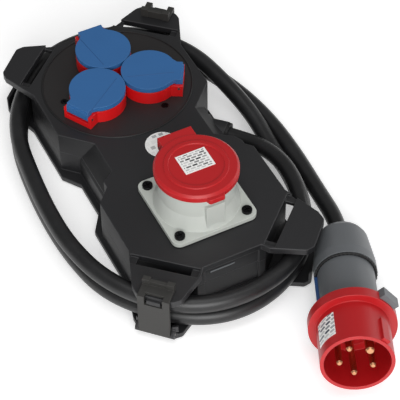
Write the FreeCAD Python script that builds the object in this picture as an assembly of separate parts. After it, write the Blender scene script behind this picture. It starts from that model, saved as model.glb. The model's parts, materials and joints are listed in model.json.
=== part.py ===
import FreeCAD, Part
import math
import os

# Portable power distribution box: a rubber-bodied box that lies flat, with three
# domestic earthed sockets on a round disc, one five-pole industrial socket, a lead
# wound round four pairs of corner horns, and a five-pole plug on the end of it.
# Millimetres. Origin: middle of the box on the surface it stands on. +Z up,
# X across the box, -Y the end with the industrial socket.

os.makedirs("parts", exist_ok=True)
V = FreeCAD.Vector
ROOT2 = math.sqrt(2.0)

# ---- driving sizes of the box ------------------------------------------------
DECK_Z = 48.0          # top face of the box above the floor
FOOT_H = 1.5           # feet stand this far below the base
BASE_T = 4.5           # base plate thickness
BASE_TOP = FOOT_H + BASE_T
RIM_T = 6.0            # thickness of the deck plate that carries the upper horns
SPLIT_Z = 27.0         # parting plane between the two shells
WALL = 3.0             # wall of the two shells
DECK_WALL = 4.0        # deck thickness over the hollow
LOBE_X = 70.5          # half width of the box at its two wide ends
NORTH_Y = 148.0        # end face on the disc side
SOUTH_Y = -137.5       # end face on the industrial side
NORTH_CORNER = 177.9   # |x|+|y| of the cut corners, disc side
SOUTH_CORNER = 168.0   # |x|+|y| of the cut corners, industrial side
TIP_N = 221.0          # |x|+|y| of the horn tips
WAIST_TOP = 47.0       # half width of the deck at the waist
WAIST_R = 65.0         # foot of the sloping waist facet, cable side
WAIST_L = 58.0         # foot of the sloping waist facet, other side
WAIST_Z = 24.0         # height of the foot of the facet
SLOT_W = 9.0           # slot between deck and horn bar
SLOT_BRIDGE = 5.0      # material left at each end of a slot
NOTCH_REACH = 1.5      # the notch over each bridge runs this far past the slot's ends
NOTCH_DEPTH = 2.6      # and this deep
LIP_Z = 16.0           # top of the lip along the lower horn tips
LIP_T = 2.0            # thickness of that lip

ABOVE = 300.0          # cuts that run out of the top end here

# ---- fits ---------------------------------------------------------------------
RUN_FIT = 0.05         # radial clearance of a turning pin
SIDE_FIT = 0.3         # side clearance of a turning knuckle
SEAT_FIT = 0.3         # gap round a plate set into a recess

# ---- disc and domestic sockets --------------------------------------------------
DISC_Y = 80.0
DISC_R = 64.7
DISC_T = 4.0
SOCKET_ANGLES = (90.0, 210.0, 330.0)
WELL_R = 19.7
WELL_DEPTH = 17.5
WELL_WALL = 2.1        # wall of the spigot under the deck
COLLAR_WALL = 4.4      # wall of the collar above it
COLLAR_H = 12.4
COLLAR_R = WELL_R + COLLAR_WALL
COLLAR_GAP = 0.2974    # between neighbouring collars
SOCKET_PITCH_R = (2.0 * COLLAR_R + COLLAR_GAP) / math.sqrt(3.0)
SPIGOT_R = WELL_R + WELL_WALL
SPIGOT_WALL = 3.3
POLE_X = 9.5           # half the pitch of the two contacts
POLE_R = 2.9
CLIP_Y = WELL_R - 2.2  # middle of an earth clip from the socket axis
CLIP_FOOT = 3.6        # half width of its foot
CLIP_FOOT_T = 1.4      # half depth of its foot
GUIDE_Y = WELL_R - 1.9
LID_R = COLLAR_R - 0.05
LID_T = 4.4
LID_GAP = 0.8          # lid above the collar
LID_SEAL_IN = WELL_R + 0.7
LID_SEAL_OUT = LID_SEAL_IN + 2.0
HINGE_R = COLLAR_R + 2.5   # hinge pin from the socket axis
HINGE_DROP = 4.2       # hinge pin below the lid
LUG_OUT = HINGE_R + 3.2    # outer face of the hinge block from the socket axis
LUG_W = 27.6
TAB_W = 22.0
KNUCKLE_R = 3.0
PIN_R = 1.25

# ---- industrial socket ----------------------------------------------------------
CEE_Y = -75.0
FLANGE = 75.0
FLANGE_T = 4.0
SEAL_T = 1.0
SCREW_PITCH = 60.0
CEE_R = 31.5
CEE_WALL = 2.6
CEE_BORE = CEE_R - CEE_WALL
CEE_FOOT_R = CEE_R + 4.0   # foot of the cone on the flange
CEE_SPIGOT_R = CEE_R - 1.6    # part of the housing that dips through the deck
CEE_H = 37.2           # rim above the deck
CEE_RIM_Z = DECK_Z + CEE_H
CEE_SEAL_OUT = CEE_R + 0.6
CEE_SEAL_IN = CEE_BORE - 1.5
CEE_LID_R = CEE_R + 3.0
CEE_LID_T = 5.6
CEE_LID_BASE = CEE_RIM_Z + 2.8
CEE_LID_TOP = CEE_LID_BASE + CEE_LID_T
CEE_LID_ROUND = 1.8    # bevel round the top of the lid
RIDGE_OUT = CEE_R - 5.5    # low ring on the lid
RIDGE_IN = RIDGE_OUT - 3.5
CEE_HINGE_OUT = CEE_R + 5.5
CEE_HINGE_Z = CEE_RIM_Z - 1.2
CEE_PIN_R = 2.0
CEE_KNUCKLE_R = 3.6
CEE_TAB_W = 30.0       # hinge tab of the lid, with a knuckle at each end
CEE_EAR_W = 18.0       # single ear of the housing between them

# ---- lead and plug ----------------------------------------------------------------
CABLE_R = 7.25
PLUG_AZ = 25.1         # the plug points this far from -Y towards -X
PLUG_TILT = 8.6        # and its mouth is tipped up by this much
PLUG_AT = (58.0, -226.4, 35.0)   # centre of the rear face of the plug flange
PLUG_FLANGE_R = 34.6
PLUG_FLANGE_T = 9.0
SHROUD_R = 28.5
SHROUD_BORE = 25.6
SHROUD_LEN = 47.0
PIN_CIRCLE = 13.6


def box(x0, x1, y0, y1, z0, z1):
    return Part.makeBox(x1 - x0, y1 - y0, z1 - z0, V(x0, y0, z0))


def cyl(r, z0, z1, x=0.0, y=0.0):
    return Part.makeCylinder(r, z1 - z0, V(x, y, z0))


def ring(r_out, r_in, z0, z1, x=0.0, y=0.0):
    return cyl(r_out, z0, z1, x, y).cut(cyl(r_in, z0 - 1, z1 + 1, x, y))


def join(shapes):
    out = shapes[0]
    for s in shapes[1:]:
        out = out.fuse(s)
    return out.removeSplitter()


def prism(points, z0, z1):
    ring_points = [V(p[0], p[1], z0) for p in points]
    ring_points.append(ring_points[0])
    return Part.Face(Part.makePolygon(ring_points)).extrude(V(0, 0, z1 - z0))


def soft_prism(points, z0, z1):
    """Polygon prism; a third number on a point is the radius of that corner."""
    edges = []
    n = len(points)
    starts = []
    ends = []
    arcs = []
    for i in range(n):
        p = V(points[i][0], points[i][1], z0)
        r = points[i][2] if len(points[i]) > 2 else 0.0
        a = V(points[i - 1][0], points[i - 1][1], z0) - p
        b = V(points[(i + 1) % n][0], points[(i + 1) % n][1], z0) - p
        a.normalize()
        b.normalize()
        if r <= 0:
            starts.append(p)
            ends.append(p)
            arcs.append(None)
            continue
        half = a.getAngle(b) / 2.0
        run = r / math.tan(half)
        mid_dir = a + b
        mid_dir.normalize()
        reach = r / math.sin(half) - r
        starts.append(p + a * run)
        ends.append(p + b * run)
        arcs.append(p + mid_dir * reach)
    for i in range(n):
        if arcs[i] is not None:
            edges.append(Part.Arc(starts[i], arcs[i], ends[i]).toShape())
        edges.append(Part.LineSegment(ends[i], starts[(i + 1) % n]).toShape())
    return Part.Face(Part.Wire(edges)).extrude(V(0, 0, z1 - z0))


def turned(shape, degrees, x, y):
    """A shape built at the origin, turned about Z and moved to x, y."""
    out = shape.copy()
    out.rotate(V(0, 0, 0), V(0, 0, 1), degrees)
    out.translate(V(x, y, 0))
    return out


def save(name, shape):
    shape.exportStep("parts/" + name + ".step")
    print(name, len(shape.Solids), round(shape.Volume / 1000.0, 2), "cm3")


# ---- outlines ----------------------------------------------------------------------
north_cut = NORTH_CORNER - NORTH_Y
south_cut = SOUTH_CORNER + SOUTH_Y


def core_half(waist):
    """Right-hand half of the box wall outline, from the disc end to the other."""
    return [(north_cut, NORTH_Y), (LOBE_X, NORTH_CORNER - LOBE_X), (LOBE_X, 46.0),
            (waist, 46.0 - (LOBE_X - waist)), (waist, -40.0 + 1.1 * (LOBE_X - waist)),
            (LOBE_X, -40.0), (LOBE_X, -SOUTH_CORNER + LOBE_X), (south_cut, SOUTH_Y)]


def mirrored(half):
    return [(-p[0],) + tuple(p[1:]) for p in reversed(half)]


core_outline = core_half(WAIST_R) + mirrored(core_half(WAIST_L))


def deck_half(waist):
    return [(26.0, NORTH_Y), (55.0, 159.3, 6), (62.0, 159.0, 4), (84.0, 137.0, 5),
            (84.0, 130.0, 4), (LOBE_X, 98.0), (LOBE_X, 46.0),
            (waist, 46.0 - (LOBE_X - waist)), (waist, -40.0 + 1.1 * (LOBE_X - waist)),
            (LOBE_X, -40.0), (LOBE_X, -95.0), (83.0, -128.0, 4), (83.5, -137.5, 5),
            (62.5, -158.5, 4), (55.5, -159.3, 4), (30.0, -144.0), (26.0, SOUTH_Y)]


deck_outline = deck_half(WAIST_R) + mirrored(deck_half(WAIST_L))

base_east = [(26.0, 149.0), (54.0, 158.5, 6), (62.0, 159.0, 4), (84.0, 137.0, 5),
             (83.0, 128.0, 4), (74.0, 100.0), (74.0, 38.0), (67.5, 28.0), (67.5, -22.0),
             (74.0, -32.0), (74.0, -95.0), (78.5, -124.0, 4), (78.5, -135.0, 4),
             (62.0, -158.0, 4), (55.0, -159.0, 4), (30.0, -144.0), (26.0, -139.0)]
base_west = [(-26.0, -139.0), (-30.0, -144.0), (-55.0, -159.3, 4), (-62.5, -158.5, 4),
             (-83.5, -137.5, 5), (-83.0, -127.0, 4), (-74.0, -95.0), (-74.0, -32.0),
             (-63.0, -15.0), (-63.0, 21.0), (-74.0, 37.0), (-74.0, 100.0),
             (-83.0, 128.0, 4), (-84.0, 137.0, 5), (-62.0, 159.0, 4), (-54.0, 158.5, 6),
             (-26.0, 149.0)]
base_outline = base_east + base_west


def waist_wedge(side, foot):
    """Space over the sloping facet on one side of the waist."""
    plan = prism([(side * WAIST_TOP, 22.5), (side * WAIST_TOP, -12.0),
                  (side * 61.0, -22.0), (side * LOBE_X, -40.0), (side * 120.0, -40.0),
                  (side * 120.0, 95.5)], 0.0, ABOVE)
    profile = [V(side * WAIST_TOP, -70, DECK_Z), V(side * foot, -70, WAIST_Z),
               V(side * 140.0, -70, WAIST_Z), V(side * 140.0, -70, ABOVE),
               V(side * WAIST_TOP, -70, ABOVE), V(side * WAIST_TOP, -70, DECK_Z)]
    above = Part.Face(Part.makePolygon(profile)).extrude(V(0, 180, 0))
    keep = box(-140, 140, -70, 46.5, 0, ABOVE)
    return plan.common(above).common(keep)


wedges = waist_wedge(1, WAIST_R).fuse(waist_wedge(-1, WAIST_L))

lobe_hollow = []
for side in (1, -1):
    half = [(side * (north_cut - 1.2), NORTH_Y - WALL),
            (side * (LOBE_X - WALL), NORTH_CORNER - LOBE_X - 1.2),
            (side * (LOBE_X - WALL), 47.2), (side * 42.5, 22.2), (side * 42.5, -14.5),
            (side * 58.0, -25.5), (side * (LOBE_X - WALL), -42.0),
            (side * (LOBE_X - WALL), -SOUTH_CORNER + LOBE_X + 1.2),
            (side * (south_cut - 1.2), SOUTH_Y + WALL)]
    if side > 0:
        lobe_hollow += half
    else:
        lobe_hollow += list(reversed(half))

SLOTS = (((72.3, 113.7), (31.9, 150.6)), ((72.5, -103.6), (32.2, -140.5)))


def slot_cut(p0, p1, z0, z1, bridge):
    dx = p1[0] - p0[0]
    dy = p1[1] - p0[1]
    length = math.hypot(dx, dy) - 2.0 * bridge
    bar = box(-length / 2, length / 2, -SLOT_W / 2, SLOT_W / 2, z0, z1)
    return turned(bar, math.degrees(math.atan2(dy, dx)),
                  (p0[0] + p1[0]) / 2.0, (p0[1] + p1[1]) / 2.0)


# tip frame: n runs outwards along the diagonal, t along the tip edge
TIP_X = 73.0
TIP_Y = TIP_N - TIP_X
TIP = TIP_N / ROOT2        # distance of the tip face along the diagonal
TIPS = {"sw": (-1, -1), "ne": (1, 1)}


def at_tip(shape, key):
    sx, sy = TIPS[key]
    angle = math.degrees(math.atan2(sy, sx))
    out = shape.copy()
    out.rotate(V(0, 0, 0), V(0, 0, 1), angle)
    out.translate(V(sx * (TIP_X - TIP / ROOT2), sy * (TIP_Y - TIP / ROOT2), 0))
    return out


STRAP_W = 26.0
STRAP_T = 2.9
STRAP_GAP = 1.0            # strap stands off the tip face
STRAP_PIN_N = TIP - 0.8
STRAP_PIN_Z = 8.0
STRAP_PIN_R = 2.0
STRAP_IN = TIP + STRAP_GAP
STRAP_OUT = STRAP_IN + STRAP_T
STRAP_EYE_R = STRAP_OUT - STRAP_PIN_N
STRAP_TOP = DECK_Z + 0.3
STRAP_HEAD = 16.0
TOOTH_W = 11.0
WINDOW_W = 15.0
EAR_T = 3.0


def t_cyl(r, n, z, t0, t1):
    return Part.makeCylinder(r, t1 - t0, V(n, t0, z), V(0, 1, 0))


# ---- housing screws and their bosses ------------------------------------------------
BOSSES = [(60.0, 103.0), (61.0, 52.0), (61.0, -50.0), (58.0, -97.0)]
boss_at = BOSSES + [(-x, y) for x, y in BOSSES]
BOSS_R = 5.0
SCREW_R = 2.0
DISC_SCREW_R = 1.75
SCREW_CLEAR = 2.3
HEAD_R = 3.8
HEAD_SEAT = FOOT_H + 3.2
SCREW_TIP = DECK_Z - 9.0
cee_holes = [(sx * SCREW_PITCH / 2, CEE_Y + sy * SCREW_PITCH / 2)
             for sx in (-1, 1) for sy in (-1, 1)]
disc_holes = [(50.0 * math.cos(math.radians(a)), DISC_Y + 50.0 * math.sin(math.radians(a)))
              for a in (180.0, 300.0, 60.0)]
socket_at = [(SOCKET_PITCH_R * math.cos(math.radians(a)),
              DISC_Y + SOCKET_PITCH_R * math.sin(math.radians(a)), a)
             for a in SOCKET_ANGLES]

# ---- upper shell -----------------------------------------------------------------------
DISC_SEAT = DECK_Z - DISC_T
upper = prism(core_outline, SPLIT_Z, DECK_Z)
upper = upper.fuse(soft_prism(deck_outline, DECK_Z - RIM_T, DECK_Z))
for p0, p1 in SLOTS:
    for side in (1, -1):
        a = (side * p0[0], p0[1])
        b = (side * p1[0], p1[1])
        upper = upper.cut(slot_cut(a, b, 0, ABOVE, SLOT_BRIDGE))
        upper = upper.cut(slot_cut(a, b, DECK_Z - NOTCH_DEPTH, ABOVE, -NOTCH_REACH))
upper = upper.cut(wedges)
hollow = prism(lobe_hollow, SPLIT_Z - 1, DECK_Z - DECK_WALL)
ledge = cyl(DISC_R + 3.5, DISC_SEAT - 3.0, DISC_SEAT, 0, DISC_Y)
inside = hollow.common(ledge)
hollow = hollow.cut(inside)
upper = upper.cut(hollow)
upper = upper.cut(cyl(DISC_R + SEAT_FIT, DISC_SEAT, ABOVE, 0, DISC_Y))
upper = upper.cut(cyl(DISC_R - 8.0, SPLIT_Z - 1, ABOVE, 0, DISC_Y))
upper = upper.cut(cyl(CEE_SPIGOT_R + 0.4, SPLIT_Z - 1, ABOVE, 0, CEE_Y))
for x, y in boss_at:
    upper = upper.fuse(cyl(BOSS_R, SPLIT_Z, DISC_SEAT, x, y))
for x, y in cee_holes:
    upper = upper.fuse(cyl(4.5, DECK_Z - 16.0, DECK_Z - 2.0, x, y))
for x, y in boss_at:
    upper = upper.cut(cyl(SCREW_R, SPLIT_Z - 1, SCREW_TIP, x, y))
for x, y in cee_holes:
    upper = upper.cut(cyl(SCREW_R, DECK_Z - 12.0, ABOVE, x, y))
# small ledge columns for the three disc screws
for x, y in disc_holes:
    upper = upper.fuse(cyl(5.5, DISC_SEAT - 12.0, DISC_SEAT, x, y))
    arm_angle = math.degrees(math.atan2(y - DISC_Y, x))
    arm = turned(box(0, 12.0, -5.5, 5.5, DISC_SEAT - 3.0, DISC_SEAT), arm_angle, x, y)
    upper = upper.fuse(arm.common(cyl(DISC_R, 0, ABOVE, 0, DISC_Y)))
    upper = upper.cut(cyl(DISC_SCREW_R, DISC_SEAT - 10.0, ABOVE, x, y))
# front skirt: a shallow recess in the end wall under the deck edge
upper = upper.cut(box(-24, 24, SOUTH_Y - 1, SOUTH_Y + 1.2, 0, DECK_Z - RIM_T))
for key in TIPS:
    tooth = box(TIP - 3, TIP + STRAP_GAP + STRAP_T - 0.4, -TOOTH_W / 2, TOOTH_W / 2,
                DECK_Z - 5.0, DECK_Z - 1.0)
    upper = upper.fuse(at_tip(tooth, key))
upper = upper.removeSplitter()
save("upper_shell", upper)

# ---- lower shell ---------------------------------------------------------------------------
lower = prism(core_outline, BASE_TOP - 0.5, SPLIT_Z).cut(wedges)
lower = lower.fuse(soft_prism(base_outline, FOOT_H, BASE_TOP))
lip_zone = soft_prism(base_outline, BASE_TOP - 0.5, LIP_Z)
keep_lip = box(TIP - LIP_T - 0.6, TIP + 20, -60, 60, 0, 60)
for sx, sy in ((1, 1), (1, -1), (-1, 1), (-1, -1)):
    zone = keep_lip.copy()
    zone.rotate(V(0, 0, 0), V(0, 0, 1), math.degrees(math.atan2(sy, sx)))
    zone.translate(V(sx * TIP_X - TIP * sx / ROOT2, sy * TIP_Y - TIP * sy / ROOT2, 0))
    lower = lower.fuse(lip_zone.common(zone))
lower = lower.cut(prism(lobe_hollow, BASE_TOP, SPLIT_Z + 1))
lower = lower.cut(box(-(WAIST_L - WALL), WAIST_R - WALL, -30.0, 38.0, BASE_TOP, WAIST_Z - 1.5))
lower = lower.cut(box(-24, 24, SOUTH_Y - 5, SOUTH_Y + 1.2, BASE_TOP, SPLIT_Z + 1))
clamp_pocket = turned(box(-3.0, 10.0, -15.0, 15.0, BASE_TOP, SPLIT_Z + 1), -45.0, 50.0, 30.0)
lower = lower.cut(clamp_pocket)
for x, y in boss_at:
    lower = lower.fuse(cyl(BOSS_R, BASE_TOP - 1, SPLIT_Z, x, y))
for x, y in boss_at:
    lower = lower.cut(cyl(SCREW_CLEAR, -1, SPLIT_Z + 1, x, y))
    lower = lower.cut(cyl(HEAD_R + 0.3, -1, HEAD_SEAT, x, y))
# oblique collar through which the lead leaves the box
CABLE_Z = 16.0
LEAD_DIR = V(1, -1, 0)
LEAD_DIR.normalize()
LEAD_IN = V(50.0, 30.0, CABLE_Z)
COLLAR_END = 29.0
GROMMET_R = CABLE_R + 2.35
GROMMET_FLANGE_R = GROMMET_R + 0.8
lead_collar = Part.makeCylinder(GROMMET_R + 1.3, COLLAR_END - 8.0, LEAD_IN + LEAD_DIR * 8.0, LEAD_DIR)
lead_bore = Part.makeCylinder(GROMMET_R, 60.0, LEAD_IN + LEAD_DIR * 9.0, LEAD_DIR)
lead_thru = Part.makeCylinder(CABLE_R, 80.0, LEAD_IN - LEAD_DIR * 4.0, LEAD_DIR)
lower = lower.fuse(lead_collar.common(box(0, 120, -60, 80, BASE_TOP - 0.2, SPLIT_Z)))
lower = lower.cut(lead_bore.common(box(0, 120, -60, 80, 0, SPLIT_Z + 1)))
lower = lower.cut(Part.makeCylinder(CABLE_R, 20.0, LEAD_IN, LEAD_DIR))
flange_seat = Part.makeCylinder(GROMMET_FLANGE_R + SEAT_FIT, 6.0, LEAD_IN + LEAD_DIR * COLLAR_END, LEAD_DIR)
lower = lower.cut(flange_seat)
for key in TIPS:
    notch = box(STRAP_PIN_N - STRAP_EYE_R - 0.6, TIP + 9, -STRAP_W / 2 - SIDE_FIT,
                STRAP_W / 2 + SIDE_FIT, 0, 30)
    ears = []
    for t0 in (-STRAP_W / 2 - SIDE_FIT - EAR_T, STRAP_W / 2 + SIDE_FIT):
        ears.append(t_cyl(STRAP_EYE_R, STRAP_PIN_N, STRAP_PIN_Z, t0, t0 + EAR_T))
        ears.append(box(STRAP_PIN_N - STRAP_EYE_R - 1.5, STRAP_PIN_N, t0, t0 + EAR_T,
                        FOOT_H, STRAP_PIN_Z + 4.0))
    lower = lower.fuse(at_tip(join(ears), key))
    lower = lower.cut(at_tip(notch, key))
    bore = t_cyl(STRAP_PIN_R, STRAP_PIN_N, STRAP_PIN_Z, -25, 25)
    lower = lower.cut(at_tip(bore, key))
FEET = [(52.0, 118.0), (-52.0, 118.0), (50.0, -112.0), (-50.0, -112.0)]
FOOT_R = 8.0
FOOT_SINK = 1.5
for x, y in FEET:
    lower = lower.cut(cyl(FOOT_R, FOOT_H - 1, FOOT_H + FOOT_SINK, x, y))
lower = lower.removeSplitter()
save("lower_shell", lower)

feet = [cyl(FOOT_R, 0.0, FOOT_H + FOOT_SINK, x, y) for x, y in FEET]
save("rubber_feet", Part.makeCompound(feet))

shell_screws = []
for x, y in boss_at:
    s = cyl(HEAD_R, HEAD_SEAT - 2.4, HEAD_SEAT, x, y).fuse(cyl(SCREW_R, HEAD_SEAT - 1, SCREW_TIP, x, y))
    s = s.cut(box(x - 2.6, x + 2.6, y - 0.5, y + 0.5, 0, HEAD_SEAT - 1.2))
    s = s.cut(box(x - 0.5, x + 0.5, y - 2.6, y + 2.6, 0, HEAD_SEAT - 1.2))
    shell_screws.append(s.removeSplitter())
save("housing_screws", Part.makeCompound(shell_screws))

# ---- straps -----------------------------------------------------------------------------
strap_names = {"sw": "strap_front", "ne": "strap_rear"}
for key in TIPS:
    half = STRAP_W / 2
    arm = box(STRAP_IN, STRAP_OUT, -half, half, STRAP_PIN_Z, STRAP_TOP + STRAP_T)
    head = box(STRAP_OUT - STRAP_HEAD, STRAP_OUT, -half, half, STRAP_TOP, STRAP_TOP + STRAP_T)
    pull = box(STRAP_OUT - STRAP_HEAD, STRAP_OUT - STRAP_HEAD + 3.0, -half, half,
               STRAP_TOP, STRAP_TOP + 7.0)
    knobs = []
    for t0 in (-half, half - 6.0):
        knobs.append(box(STRAP_OUT - STRAP_HEAD - 0.6, STRAP_OUT - STRAP_HEAD + 3.6,
                         t0, t0 + 6.0, STRAP_TOP, STRAP_TOP + 8.6))
    eye = t_cyl(STRAP_EYE_R, STRAP_PIN_N, STRAP_PIN_Z, -half, half)
    strap = join([arm, head, pull, eye] + knobs)
    window = box(STRAP_OUT - 5.5, STRAP_OUT + 1, -WINDOW_W / 2, WINDOW_W / 2,
                 DECK_Z - 6.0, STRAP_TOP + STRAP_T + 1)
    strap = strap.cut(window)
    strap = strap.cut(t_cyl(STRAP_PIN_R + RUN_FIT, STRAP_PIN_N, STRAP_PIN_Z, -25, 25))
    save(strap_names[key], at_tip(strap.removeSplitter(), key))
    pin = t_cyl(STRAP_PIN_R, STRAP_PIN_N, STRAP_PIN_Z, -half - SIDE_FIT - EAR_T,
                half + SIDE_FIT + EAR_T)
    save(strap_names[key] + "_pin", at_tip(pin, key))

# ---- socket disc ----------------------------------------------------------------------------
disc = cyl(DISC_R, DISC_SEAT, DECK_Z, 0, DISC_Y)
for x, y, a in socket_at:
    disc = disc.cut(cyl(SPIGOT_R, 0, ABOVE, x, y))
for x, y in disc_holes:
    disc = disc.cut(cyl(DISC_SCREW_R, 0, ABOVE, x, y))
    disc = disc.cut(cyl(3.3, DECK_Z - 1.6, ABOVE, x, y))
save("socket_disc", disc)
disc_screws = []
for x, y in disc_holes:
    s = cyl(3.1, DECK_Z - 1.6, DECK_Z + 0.2, x, y)
    s = s.fuse(cyl(DISC_SCREW_R, DISC_SEAT - 9.0, DECK_Z - 1, x, y))
    s = s.cut(box(x - 2.2, x + 2.2, y - 0.4, y + 0.4, DECK_Z - 0.8, ABOVE))
    s = s.cut(box(x - 0.4, x + 0.4, y - 2.2, y + 2.2, DECK_Z - 0.8, ABOVE))
    disc_screws.append(s.removeSplitter())
save("disc_screws", Part.makeCompound(disc_screws))

# ---- three domestic sockets --------------------------------------------------------------------
TOP_Z = DECK_Z + COLLAR_H
WELL_Z = TOP_Z - WELL_DEPTH
SPIGOT_Z = 22.0
LID_LOW = TOP_Z + LID_GAP
HINGE_Z = LID_LOW - HINGE_DROP
SLOT_IN = HINGE_R - KNUCKLE_R - 0.5
SEAL_LOW = TOP_Z + 0.3


def y_cyl(r, x, z, half):
    return Part.makeCylinder(r, 2 * half, V(x, -half, z), V(0, 1, 0))


for i, (sx, sy, a) in enumerate(socket_at):
    tag = str(i + 1)
    body = cyl(COLLAR_R, DECK_Z, TOP_Z)
    body = body.fuse(box(8.0, LUG_OUT, -LUG_W / 2, LUG_W / 2, DECK_Z, TOP_Z))
    body = body.fuse(cyl(SPIGOT_R - 0.05, SPIGOT_Z, DECK_Z + 1))
    body = body.cut(cyl(WELL_R, WELL_Z - 5.0, TOP_Z + 1))
    body = body.cut(cyl(SPIGOT_R - SPIGOT_WALL, SPIGOT_Z + 2.0, TOP_Z))
    body = body.cut(box(SLOT_IN, LUG_OUT + 1, -TAB_W / 2 - SIDE_FIT, TAB_W / 2 + SIDE_FIT,
                        HINGE_Z - KNUCKLE_R - 1.0, TOP_Z + 1))
    body = body.cut(y_cyl(PIN_R, HINGE_R, HINGE_Z, 20))
    body = body.cut(box(SLOT_IN, LUG_OUT + 1, -LUG_W, LUG_W, TOP_Z - 0.2, TOP_Z + 1))
    save("socket_base_" + tag, turned(body.removeSplitter(), a, sx, sy))

    insert = cyl(WELL_R, WELL_Z - 5.0, WELL_Z).fuse(cyl(SPIGOT_R - SPIGOT_WALL, SPIGOT_Z + 2.0, WELL_Z - 4))
    guides = []
    tubes = []
    clips = []
    for s in (-1, 1):
        y_in = s * CLIP_Y - CLIP_FOOT_T
        y_out = s * CLIP_Y + CLIP_FOOT_T
        clip_slot = box(-CLIP_FOOT, CLIP_FOOT, y_in, y_out, WELL_Z - 3, TOP_Z)
        guide = box(-7.5, 7.5, s * GUIDE_Y - 1.5, s * GUIDE_Y + 1.5, WELL_Z, TOP_Z - 4.0)
        guides.append(guide.common(cyl(WELL_R, 0, ABOVE)).cut(clip_slot))
        insert = insert.cut(clip_slot)
        insert = insert.cut(cyl(POLE_R, SPIGOT_Z, WELL_Z + 1, s * POLE_X, 0))
        tubes.append(ring(POLE_R, POLE_R - 0.6, SPIGOT_Z + 4.0, WELL_Z - 3.0, s * POLE_X, 0))
        blade = box(-3.0, 3.0, s * CLIP_Y - 0.5, s * CLIP_Y + 0.5, WELL_Z - 3, TOP_Z - 3.0)
        foot = box(-CLIP_FOOT, CLIP_FOOT, y_in, y_out, WELL_Z - 3, WELL_Z - 1.5)
        clips.append(blade.fuse(foot).removeSplitter())
    save("socket_insert_" + tag, turned(insert.removeSplitter(), a, sx, sy))
    save("clip_guides_" + tag, turned(Part.makeCompound(guides), a, sx, sy))
    save("socket_contacts_" + tag, turned(Part.makeCompound(tubes), a, sx, sy))
    save("earth_clips_" + tag, turned(Part.makeCompound(clips), a, sx, sy))

    pin = y_cyl(PIN_R, HINGE_R, HINGE_Z, LUG_W / 2)
    save("lid_pin_" + tag, turned(pin, a, sx, sy))

    lid = cyl(LID_R, LID_LOW, LID_LOW + LID_T)
    half_tab = TAB_W / 2
    lid = lid.fuse(prism([(8.2, -LID_R + 1.6), (HINGE_R - 3.1, -half_tab), (HINGE_R + 2.0, -half_tab),
                          (HINGE_R + 2.0, half_tab), (HINGE_R - 3.1, half_tab), (8.2, LID_R - 1.6)],
                         LID_LOW, LID_LOW + LID_T))
    lid = lid.fuse(box(HINGE_R - KNUCKLE_R, HINGE_R + KNUCKLE_R, -TAB_W / 2, TAB_W / 2,
                       HINGE_Z, LID_LOW + 2.0))
    lid = lid.fuse(y_cyl(KNUCKLE_R, HINGE_R, HINGE_Z, TAB_W / 2))
    lid = lid.cut(ring(LID_SEAL_OUT, LID_SEAL_IN, 0, LID_LOW + 1.0))
    lid = lid.cut(y_cyl(PIN_R + RUN_FIT, HINGE_R, HINGE_Z, 20))
    save("socket_lid_" + tag, turned(lid.removeSplitter(), a, sx, sy))
    save("lid_seal_" + tag, turned(ring(LID_SEAL_OUT, LID_SEAL_IN, SEAL_LOW, LID_LOW + 1.0), a, sx, sy))

# ---- industrial socket ------------------------------------------------------------------------------
FLANGE_LOW = DECK_Z + SEAL_T
FLANGE_TOP = FLANGE_LOW + FLANGE_T
CEE_DEEP = 30.0
h = FLANGE / 2
flange_pts = [(-h, -h, 7), (h, -h, 7), (h, h, 7), (-h, h, 7)]
cee = soft_prism(flange_pts, FLANGE_LOW, FLANGE_TOP)
cee = cee.fuse(Part.makeCone(CEE_FOOT_R, CEE_R, 14.0, V(0, 0, FLANGE_TOP - 0.01)))
cee = cee.fuse(cyl(CEE_R, FLANGE_TOP, CEE_RIM_Z))
cee = cee.fuse(cyl(CEE_SPIGOT_R, CEE_DEEP, FLANGE_TOP))
cee = cee.fuse(box(-8.0, 8.0, -CEE_R - 2.6, -CEE_R + 11.5, FLANGE_TOP - 1, CEE_RIM_Z - 6.0))
ear_half = CEE_EAR_W / 2
ear_root = CEE_R - 7.5
ear_points = [(ear_root, FLANGE_TOP + 7.0), (CEE_HINGE_OUT + CEE_KNUCKLE_R - 0.3, CEE_HINGE_Z - 1.0),
              (CEE_HINGE_OUT, CEE_HINGE_Z), (ear_root, CEE_HINGE_Z - 1.0), (ear_root, FLANGE_TOP + 7.0)]
ear_profile = [V(-ear_half, y, z) for y, z in ear_points]
ear = Part.Face(Part.makePolygon(ear_profile)).extrude(V(CEE_EAR_W, 0, 0))
ear_eye = Part.makeCylinder(CEE_KNUCKLE_R, CEE_EAR_W, V(-ear_half, CEE_HINGE_OUT, CEE_HINGE_Z), V(1, 0, 0))
ear = ear.fuse(ear_eye)
cee = cee.fuse(ear)
cee = cee.cut(cyl(CEE_BORE, CEE_DEEP + 4.0, ABOVE))
cee = cee.cut(cyl(16.0, 0, CEE_DEEP + 8.0))
for x, y in cee_holes:
    cee = cee.cut(cyl(SCREW_R + 0.3, 0, ABOVE, x, y - CEE_Y))
cee = cee.cut(Part.makeCylinder(CEE_PIN_R, 80, V(-40, CEE_HINGE_OUT, CEE_HINGE_Z), V(1, 0, 0)))
cee = cee.removeSplitter()
cee.translate(V(0, CEE_Y, 0))
save("cee_housing", cee)

g = h - 2.0
seal = soft_prism([(-g, -g, 6), (g, -g, 6), (g, g, 6), (-g, g, 6)], DECK_Z, FLANGE_LOW)
seal = seal.cut(cyl(CEE_SPIGOT_R + 1.1, 0, ABOVE))
for x, y in cee_holes:
    seal = seal.cut(cyl(SCREW_R + 0.3, 0, ABOVE, x, y - CEE_Y))
seal.translate(V(0, CEE_Y, 0))
save("cee_flange_seal", seal)

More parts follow.
